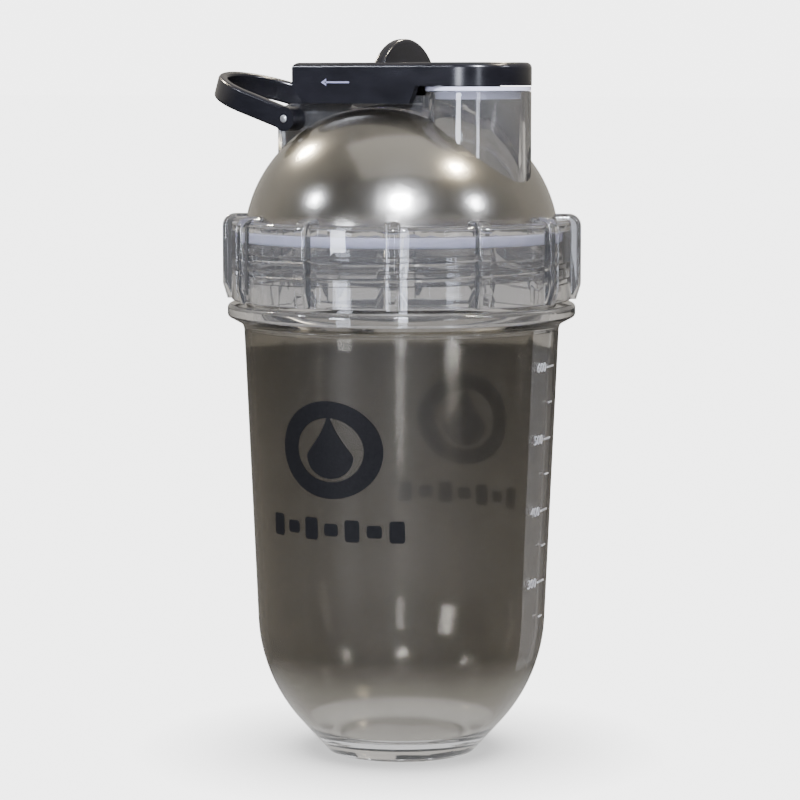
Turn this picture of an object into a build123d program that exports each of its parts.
from build123d import *
from math import asin, atan2, cos, degrees, radians, sin, sqrt, tan
import os

# Protein shaker bottle: a round-bottomed cup and a screw-on top. The top is one clear moulding
# of collar, dome and drinking spout. Its black lid slides back to unlock and then flips open
# on a steel pin, which carries the carry loop as well.
#
# Millimetres. +Z is up and the origin is the centre of the foot, on the surface it stands on.
# +X points from the carry loop to the spout, and the lid is symmetrical about y = 0.

os.makedirs("parts", exist_ok=True)

# ---------------------------------------------------------------- driving sizes

# Cup
rim_height = 143.5  # overall height of the cup
body_radius = 44.0  # outside, at the top of the plain wall
wall = 2.4  # of the cup and of the dome
body_taper = 2.5  # angle of the plain wall to the vertical
cone_angle = 41.5  # angle of the lower cone to the vertical
belly_radius = 46.0  # round between the cone and the plain wall
foot_radius = 21.0
foot_ring = 3.5  # width of the ring that it stands on
foot_recess = 2.2  # depth of the hollow under the foot
floor_height = 4.8  # inside face of the floor
floor_round = 12.0  # round between the floor and the cone, inside
neck_height = 17.3  # from the top of the flange to the rim
neck_step = 0.8  # how far the neck stands inside the plain wall
neck_wall = 1.9
flange_width = 5.3  # how far the flange stands out from the neck
flange_edge = 3.4  # height of the flange's edge
flange_flare = 2.4  # height over which the wall flares out to the flange

# Screw thread: one start, right-handed
pitch = 4.2
thread_height = 1.6  # from the neck to the crest
thread_root = 1.8  # width of a ridge where it meets the wall
thread_crest = 1.0
thread_turns = 2.4
thread_start = 4.6  # lowest turn of the cup's thread, above the flange
thread_play = 0.4  # crest of one thread to the wall of the other
thread_bite = 0.3  # how far a ridge is sunk into its wall
thread_angle = 10.0  # direction of both threads' lower ends, from +X

# Rim seal
seal_height = 3.0
seal_play = 0.3  # to the bore of the collar
seal_round = 0.7

# Collar and its grip ribs
collar_gap = 1.1  # above the flange
collar_wall = 2.2
ledge = 3.0  # thickness of the step between the collar and the dome
collar_round = 1.2
rib_count = 12
rib_width = 4.2
rib_proud = 2.6
rib_rise = 1.5  # above the ledge
rib_corner = 3.5
rib_edge = 1.3

# Dome: a rounder shoulder under a flatter crown
dome_overhang = 0.65  # widest radius of the dome, beyond the neck
shoulder_radius = 37.5
shoulder_drop = 6.7  # height of the shoulder's centre under the top of the ledge
dome_rise = 31.8  # from the ledge to the top of the dome

# Spout
spout_radius = 14.6
spout_wall = 2.4
spout_inset = 4.35  # from the widest radius of the dome to the spout's outermost point
spout_rise = 3.7  # rim of the spout above the top of the dome

# Hinge: one pin for the lid and the carry loop
pin_inset = 16.65  # from the widest radius of the dome to the pin
pin_radius = 1.1
pin_play = 0.05
pin_head = 0.4  # how far the pin shows beyond the loop
knuckle_radius = 2.4
knuckle_gap = 0.3  # to the dome, to the cheeks and between neighbours on the pin

# Cheeks: the two side walls on the dome that hold the pin
cheek_play = 0.5  # between the cheeks and the skirts of the cover
cheek_thickness = 3.0
cheek_reach = 6.2  # from the pin to the back edge
cheek_above_pin = 4.2
cheek_round = 5.0
rail_start = 5.2  # from the pin to where the cheek steps up to the rail
rail_end = 8.0  # from the spout's axis back to the end of the rail, in the spout's wall
rail_top_rise = 2.4  # above the top of the dome

# Carry loop
hub_radius = 3.4
arm_play = 0.8  # between the cover and the arms
arm_thickness = 2.7
loop_band = 6.4
loop_straight = 15.4  # from the pin to the centre of the round end
loop_angle = 18.0  # above the horizontal
loop_edge = 0.9

# Lid plate
plate_thickness = 2.3
plate_side_gap = 0.3
web_left = 4.4  # from the pin to the plate's end
boss_drop = 2.9
boss_play = 0.05  # in the seal

# Spout seal
spout_seal_flange = 1.05
spout_seal_inset = 0.1  # flange edge inside the spout's edge
spout_seal_lift = 0.05  # above the rim of the spout
plug_depth = 2.4
plug_play = 0.2  # at the top of the plug
plug_taper = 0.4
plug_wall = 1.15  # at the bottom of the plug

# Slide cover
cover_wall = 2.0
cover_overhang = 0.1  # beyond the spout, all round
cover_roof = 2.0
cover_height = 6.3  # at the round end
cover_gap = 0.3  # to the seal, to the plate and to the guides
cover_back = 0.4  # from the pin to its back end, towards the spout
skirt_clearance = 0.9  # of the deep skirts above the hubs
skirt_end = 13.0  # from the spout's axis back to the end of the deep skirts
skirt_slant = 2.2
cover_chamfer_x = 3.8
cover_chamfer_z = 5.0
cover_round = 1.6
rib_lip = 1.2  # of the lips that hook under the plate
lip_height = 0.9
lip_start = 11.0  # from the pin to the lips
slide_travel = 7.0
guide_width = 2.0
tab_x = 27.8  # from the pin to the thumb tab
tab_height = 6.5
tab_inset = 2.1  # of its ends from the sides of the cover
tab_thickness = 3.4
tab_edge = 1.0

# ---------------------------------------------------------------- worked-out sizes

neck_radius = body_radius - neck_step
neck_bore = neck_radius - neck_wall
flange_radius = neck_radius + flange_width
flange_top = rim_height - neck_height
flange_bottom = flange_top - flange_edge
wall_top = flange_bottom - flange_flare

thread_outer = neck_radius + thread_height
collar_bore = thread_outer + thread_play
thread_inner = neck_radius + thread_play
collar_radius = collar_bore + collar_wall
collar_bottom = flange_top + collar_gap
ledge_bottom = rim_height + seal_height
ledge_top = ledge_bottom + ledge

dome_radius = neck_radius + dome_overhang
dome_top = ledge_top + dome_rise
shoulder_r = dome_radius - shoulder_radius
shoulder_z = ledge_top - shoulder_drop
crown_drop = dome_top - shoulder_z
crown_radius = (shoulder_radius**2 - crown_drop**2 - shoulder_r**2) / (2 * (shoulder_radius - crown_drop))
crown_z = dome_top - crown_radius
shoulder_end = degrees(atan2(shoulder_z - crown_z, shoulder_r))

spout_x = dome_radius - spout_inset - spout_radius
spout_bore = spout_radius - spout_wall
spout_top = dome_top + spout_rise
boss_radius = spout_bore - plug_play - plug_taper - plug_wall - boss_play
cover_side = spout_radius + cover_overhang  # half of its width, and the radius of its round end
tab_half_width = cover_side - tab_inset

pin_x = -(dome_radius - pin_inset)
pin_from_shoulder = shoulder_radius + knuckle_radius + knuckle_gap
pin_z = shoulder_z + sqrt(pin_from_shoulder**2 - (-pin_x - shoulder_r) ** 2)
pin_hole = pin_radius + pin_play
cheek_outer = cover_side - cover_wall - cheek_play
cheek_inner = cheek_outer - cheek_thickness
arm_inner = cover_side + arm_play
arm_outer = arm_inner + arm_thickness

skirt_bottom = pin_z + hub_radius + skirt_clearance
plate_bottom = spout_top + spout_seal_lift + spout_seal_flange
plate_top = plate_bottom + plate_thickness
plate_side = cover_side - cover_wall - plate_side_gap
plate_left = pin_x + web_left
cover_bottom = plate_bottom + cover_gap
cover_top = cover_bottom + cover_height
cover_left = pin_x + cover_back
roof_bottom = cover_top - cover_roof
pin_axis = Plane.XZ.offset(-arm_outer - pin_head)


def wall_r(z, inset=0.0):
    """Radius of the plain wall's line at height z, moved in by a wall thickness."""
    return body_radius - inset / cos(radians(body_taper)) - (wall_top - z) * tan(radians(body_taper))


def cone_r(z, inset=0.0):
    """Radius of the cone's line at height z, moved in by a wall thickness."""
    return foot_radius - inset / cos(radians(cone_angle)) + z * tan(radians(cone_angle))


def belly_corner(inset=0.0):
    """Where the cone's line meets the plain wall's line."""
    z = (wall_r(0, inset) - cone_r(0, inset)) / (tan(radians(cone_angle)) - tan(radians(body_taper)))
    return cone_r(z, inset), z


def corner(sketch, r, z):
    """The corner of a profile nearest to radius r and height z."""
    return sketch.vertices().sort_by_distance(Vector(r, z))[0]


def dome_profile(inset, radius, bottom, step):
    """Half section of the collar and the dome: radius and bottom are the collar's, and step is
    the height at which it turns in to the dome."""
    base = degrees(asin((step - shoulder_z) / (shoulder_radius - inset)))
    with BuildSketch(Plane.XZ) as profile:
        with BuildLine():
            shoulder = CenterArc(
                (shoulder_r, shoulder_z), shoulder_radius - inset, base, shoulder_end - base
            )
            crown = CenterArc((0, crown_z), crown_radius - inset, shoulder_end, 90 - shoulder_end)
            Polyline(crown @ 1, (0, bottom), (radius, bottom), (radius, step), shoulder @ 0)
        make_face()
    return profile.sketch


def thread(radius, start, turns, direction):
    """A trapezoidal ridge along a helix on a wall of the given radius, standing outwards where
    direction is 1 and inwards where it is -1."""
    with BuildPart() as ridge:
        with BuildLine() as line:
            path = Helix(pitch, turns * pitch, radius, center=(0, 0, start))
        with BuildSketch(Plane(path @ 0, x_dir=(direction, 0, 0), z_dir=path % 0)):
            with BuildLine():
                Polyline(
                    (-thread_bite, -thread_root / 2),
                    (0, -thread_root / 2),
                    (thread_height, -thread_crest / 2),
                    (thread_height, thread_crest / 2),
                    (0, thread_root / 2),
                    (-thread_bite, thread_root / 2),
                    close=True,
                )
            make_face()
        sweep(path=line.line, is_frenet=True)
    return ridge.part.rotate(Axis.Z, thread_angle)


def write(piece, label):
    """Names a finished piece and writes its STEP file."""
    piece.part.label = label
    export_step(piece.part, f"parts/{label}.step")


# ---------------------------------------------------------------- cup

outer_belly = belly_corner()
inner_belly = belly_corner(wall)
floor_corner = (cone_r(floor_height, wall), floor_height)
recess_radius = foot_radius - foot_ring
cup_thread = thread(neck_radius, flange_top + thread_start, thread_turns, 1)

with BuildPart() as cup:
    with BuildSketch(Plane.XZ) as cup_profile:
        with BuildLine():
            Polyline(
                (0, foot_recess),
                (recess_radius - foot_recess / 2, foot_recess),
                (recess_radius, 0),
                (foot_radius, 0),
                outer_belly,
                (body_radius, wall_top),
                (flange_radius, flange_bottom),
                (flange_radius, flange_top),
                (neck_radius, flange_top),
                (neck_radius, rim_height),
                (neck_bore, rim_height),
                (neck_bore, flange_bottom),
                (wall_r(wall_top, wall), wall_top),
                inner_belly,
                floor_corner,
                (0, floor_height),
                close=True,
            )
        make_face()
        fillet(corner(cup_profile, *outer_belly), belly_radius)
        fillet(corner(cup_profile, *inner_belly), belly_radius - wall)
        fillet(corner(cup_profile, *floor_corner), floor_round)
        fillet(corner(cup_profile, body_radius, wall_top), flange_flare)
        fillet(corner(cup_profile, flange_radius, flange_bottom), flange_edge / 3)
        fillet(corner(cup_profile, flange_radius, flange_top), flange_edge / 3)
        fillet(corner(cup_profile, neck_radius, rim_height), neck_wall / 4)
        fillet(corner(cup_profile, neck_bore, rim_height), neck_wall / 4)
        fillet(corner(cup_profile, foot_radius, 0), foot_ring / 4)
        fillet(corner(cup_profile, recess_radius, 0), foot_ring / 6)
    revolve(axis=Axis.Z)
    add(cup_thread)

write(cup, "cup")

# ---------------------------------------------------------------- rim seal

with BuildPart() as rim_seal:
    with BuildSketch(Plane.XZ):
        seal_outer = collar_bore - seal_play
        seal_inner = neck_bore + seal_play
        with Locations(((seal_outer + seal_inner) / 2, rim_height + seal_height / 2)):
            RectangleRounded(seal_outer - seal_inner, seal_height, seal_round)
    revolve(axis=Axis.Z)

write(rim_seal, "rim_seal")

# ---------------------------------------------------------------- top shell

# One grip rib, with a rounded back and rounded edges. It runs up the collar and in over the ledge.
rib_outer = collar_radius + rib_proud
rib_foot = collar_radius + rib_proud / 2
rib_low = collar_bottom + rib_proud * 1.6
with BuildPart() as grip_rib:
    with BuildSketch(Plane.XZ) as rib_profile:
        with BuildLine():
            Polyline(
                (neck_bore, collar_bottom),
                (rib_foot, collar_bottom),
                (rib_outer, rib_low),
                (rib_outer, ledge_top + rib_rise),
                (neck_bore, ledge_top + rib_rise),
                close=True,
            )
        make_face()
        fillet(corner(rib_profile, rib_outer, rib_low), rib_corner)
        fillet(corner(rib_profile, rib_outer, ledge_top + rib_rise), rib_corner)
    extrude(amount=rib_width / 2, both=True)
    fillet(grip_rib.faces().filter_by(Axis.Y).edges() - grip_rib.faces().sort_by(Axis.X)[0].edges(), rib_edge)

outer_profile = dome_profile(0, collar_radius, collar_bottom, ledge_top)
inner_profile = dome_profile(wall, collar_bore, collar_bottom - collar_gap, ledge_bottom)
collar_thread = thread(collar_bore, flange_top + thread_start + pitch / 2, thread_turns - 0.5, -1)

with BuildPart() as top_shell:
    with BuildSketch(Plane.XZ) as shell_profile:
        add(outer_profile)
        fillet(corner(shell_profile, collar_radius, ledge_top), collar_round)
        fillet(corner(shell_profile, collar_radius, collar_bottom), collar_wall / 4)
    revolve(axis=Axis.Z)
    with PolarLocations(0, rib_count):
        add(grip_rib.part)

    # Spout, as a plug that is bored out below
    with BuildSketch(Plane.XY.offset(ledge_top)):
        with Locations((spout_x, 0)):
            Circle(spout_radius)
    extrude(amount=spout_top - ledge_top)

    # Cheeks with the rails that the lid closes over
    cheek_left = pin_x - cheek_reach
    cheek_top = pin_z + cheek_above_pin
    rail_left = pin_x + rail_start
    rail_right = spout_x - rail_end
    rail_top = dome_top + rail_top_rise
    with BuildSketch(Plane.XZ.offset(cheek_inner)) as cheek_profile:
        with BuildLine():
            Polyline(
                (cheek_left, ledge_top),
                (cheek_left, cheek_top),
                (rail_left, cheek_top),
                (rail_left + rail_top - cheek_top, rail_top),
                (rail_right, rail_top),
                (rail_right, ledge_top),
                close=True,
            )
        make_face()
        fillet(corner(cheek_profile, cheek_left, cheek_top), cheek_round)
    extrude(amount=cheek_thickness)
    mirror(about=Plane.XZ)

    # Inside
    with BuildSketch(Plane.XZ):
        add(inner_profile)
    revolve(axis=Axis.Z, mode=Mode.SUBTRACT)
    with BuildSketch(Plane.XY.offset(ledge_bottom)):
        with Locations((spout_x, 0)):
            Circle(spout_bore)
    extrude(amount=spout_top - ledge_bottom, mode=Mode.SUBTRACT)
    with BuildSketch(pin_axis):
        with Locations((pin_x, pin_z)):
            Circle(pin_hole)
    extrude(amount=2 * (arm_outer + pin_head), mode=Mode.SUBTRACT)
    add(collar_thread)
    spout_rims = top_shell.edges().filter_by(GeomType.CIRCLE).group_by(Axis.Z)[-1]
    fillet(spout_rims, spout_wall / 4)

write(top_shell, "top_shell")

# ---------------------------------------------------------------- hinge pin

with BuildPart() as hinge_pin:
    with BuildSketch(pin_axis):
        with Locations((pin_x, pin_z)):
            Circle(pin_radius)
    extrude(amount=2 * (arm_outer + pin_head))
    fillet(hinge_pin.edges(), pin_head)

write(hinge_pin, "hinge_pin")

# ---------------------------------------------------------------- carry loop

loop_plane = Plane(
    (pin_x, 0, pin_z),
    x_dir=(-cos(radians(loop_angle)), 0, sin(radians(loop_angle))),
    z_dir=(sin(radians(loop_angle)), 0, cos(radians(loop_angle))),
)
with BuildPart() as carry_loop:
    with BuildSketch(loop_plane):
        with BuildLine():
            outer_end = ThreePointArc(
                (loop_straight, arm_outer), (loop_straight + arm_outer, 0), (loop_straight, -arm_outer)
            )
            inner_end = ThreePointArc(
                (loop_straight, -arm_inner), (loop_straight + arm_inner, 0), (loop_straight, arm_inner)
            )
            Polyline(outer_end @ 1, (0, -arm_outer), (0, -arm_inner), inner_end @ 0)
            Polyline(inner_end @ 1, (0, arm_inner), (0, arm_outer), outer_end @ 0)
        make_face()
    extrude(amount=loop_band / 2, both=True)
    band_edges = carry_loop.faces().filter_by(Axis((0, 0, 0), loop_plane.z_dir)).edges()
    fillet(band_edges - band_edges.filter_by(Axis.Y), loop_edge)
    hub_inner = cheek_outer + knuckle_gap
    with BuildSketch(Plane.XZ.offset(hub_inner)):
        with Locations((pin_x, pin_z)):
            Circle(hub_radius)
    extrude(amount=arm_outer - hub_inner)
    with BuildSketch(Plane.XZ.offset(-hub_inner)):
        with Locations((pin_x, pin_z)):
            Circle(hub_radius)
    extrude(amount=hub_inner - arm_outer)
    with BuildSketch(pin_axis):
        with Locations((pin_x, pin_z)):
            Circle(pin_hole)
    extrude(amount=2 * (arm_outer + pin_head), mode=Mode.SUBTRACT)

write(carry_loop, "carry_loop")

# ---------------------------------------------------------------- lid plate

plate_end_x = spout_x - slide_travel - plate_side_gap
knuckle_half = cheek_inner - knuckle_gap
guide_outer = plate_side - rib_lip
with BuildPart() as lid_plate:
    with BuildSketch(Plane.XY.offset(plate_bottom)):
        with Locations((plate_end_x, 0)):
            Circle(plate_side)
        with Locations(((plate_left + plate_end_x) / 2, 0)):
            Rectangle(plate_end_x - plate_left, 2 * plate_side)
    extrude(amount=plate_thickness)

    # Guides that run under the roof of the cover
    with BuildSketch(Plane.XY.offset(plate_top)):
        with Locations(((plate_left + plate_end_x) / 2, guide_outer - guide_width / 2)):
            Rectangle(plate_end_x - plate_left, guide_width)
        mirror(about=Plane.XZ)
    extrude(amount=roof_bottom - cover_gap - plate_top)

    # Boss that carries the spout seal
    with BuildSketch(Plane.XY.offset(plate_bottom)):
        with Locations((spout_x, 0)):
            Circle(boss_radius)
    extrude(amount=-boss_drop)

    # Web and knuckle
    with BuildSketch(Plane.XZ):
        with Locations((pin_x, pin_z)):
            Circle(knuckle_radius)
        with BuildLine():
            Polyline(
                (pin_x - knuckle_radius * cos(radians(40)), pin_z + knuckle_radius * sin(radians(40))),
                (pin_x + knuckle_radius * cos(radians(40)), pin_z - knuckle_radius * sin(radians(40))),
                (plate_left + 2 * plate_thickness, plate_bottom),
                (plate_left + 2 * plate_thickness, plate_top),
                (plate_left, plate_top),
                (plate_left, plate_bottom),
                close=True,
            )
        make_face()
    extrude(amount=knuckle_half, both=True)
    with BuildSketch(pin_axis):
        with Locations((pin_x, pin_z)):
            Circle(pin_hole)
    extrude(amount=2 * (arm_outer + pin_head), mode=Mode.SUBTRACT)

write(lid_plate, "lid_plate")

# ---------------------------------------------------------------- spout seal

with BuildPart() as spout_seal:
    with BuildSketch(Plane.XZ):
        flange_low = spout_top + spout_seal_lift
        plug_top_r = spout_bore - plug_play
        with BuildLine():
            Polyline(
                (spout_x + boss_radius + boss_play, plate_bottom),
                (spout_x + spout_radius - spout_seal_inset, plate_bottom),
                (spout_x + spout_radius - spout_seal_inset, flange_low),
                (spout_x + plug_top_r, flange_low),
                (spout_x + plug_top_r - plug_taper, flange_low - plug_depth),
                (spout_x + boss_radius + boss_play, flange_low - plug_depth),
                close=True,
            )
        make_face()
    revolve(axis=Axis((spout_x, 0, 0), (0, 0, 1)))

write(spout_seal, "spout_seal")

# ---------------------------------------------------------------- slide cover

skirt_right = spout_x - skirt_end
lip_left = pin_x + lip_start
lip_top = plate_bottom - cover_gap
with BuildPart() as slide_cover:
    with BuildSketch(Plane.XY.offset(cover_bottom)):
        with Locations((spout_x, 0)):
            Circle(cover_side)
        with Locations(((cover_left + spout_x) / 2, 0)):
            Rectangle(spout_x - cover_left, 2 * cover_side)
    extrude(amount=cover_height)
    with BuildSketch(Plane.XZ):
        with BuildLine():
            Polyline(
                (cover_left, cover_bottom),
                (cover_left + cover_chamfer_x, skirt_bottom),
                (skirt_right, skirt_bottom),
                (skirt_right + skirt_slant, cover_bottom),
                close=True,
            )
        make_face()
    extrude(amount=cover_side, both=True)
    roof_edges = slide_cover.faces().sort_by(Axis.Z)[-1].edges()
    fillet(roof_edges, cover_round)

    # Inside, open below
    with BuildSketch(Plane.XY.offset(skirt_bottom)):
        with Locations((spout_x, 0)):
            Circle(cover_side - cover_wall)
        with Locations(((cover_left + cover_wall + spout_x) / 2, 0)):
            Rectangle(spout_x - cover_left - cover_wall, 2 * (cover_side - cover_wall))
    extrude(amount=roof_bottom - skirt_bottom, mode=Mode.SUBTRACT)
    with BuildSketch(Plane.XY.offset(skirt_bottom)):
        with Locations((cover_left + cover_wall, 0)):
            Rectangle(2 * cover_wall, 2 * (cover_side - cover_wall))
    extrude(amount=cover_bottom - skirt_bottom, mode=Mode.SUBTRACT)

    # Lips that hook under the edges of the plate
    with BuildSketch(Plane.XY.offset(lip_top)):
        with Locations(((lip_left + skirt_right) / 2, cover_side - cover_wall - rib_lip / 2)):
            Rectangle(skirt_right - lip_left, rib_lip)
        mirror(about=Plane.XZ)
    extrude(amount=-lip_height)

    # Thumb tab
    tab_arc = (tab_half_width**2 + tab_height**2) / (2 * tab_height)
    with BuildSketch(Plane.YZ.offset(pin_x + tab_x)):
        with Locations((0, cover_top + tab_height - tab_arc)):
            Circle(tab_arc)
        with Locations((0, cover_top + tab_height / 2 - cover_roof / 4)):
            Rectangle(2 * tab_half_width, tab_height + cover_roof / 2, mode=Mode.INTERSECT)
    extrude(amount=tab_thickness / 2, both=True)
    tab_edges = slide_cover.edges().filter_by(GeomType.CIRCLE).group_by(Axis.Z)[-1]
    fillet(tab_edges, tab_edge)

write(slide_cover, "slide_cover")
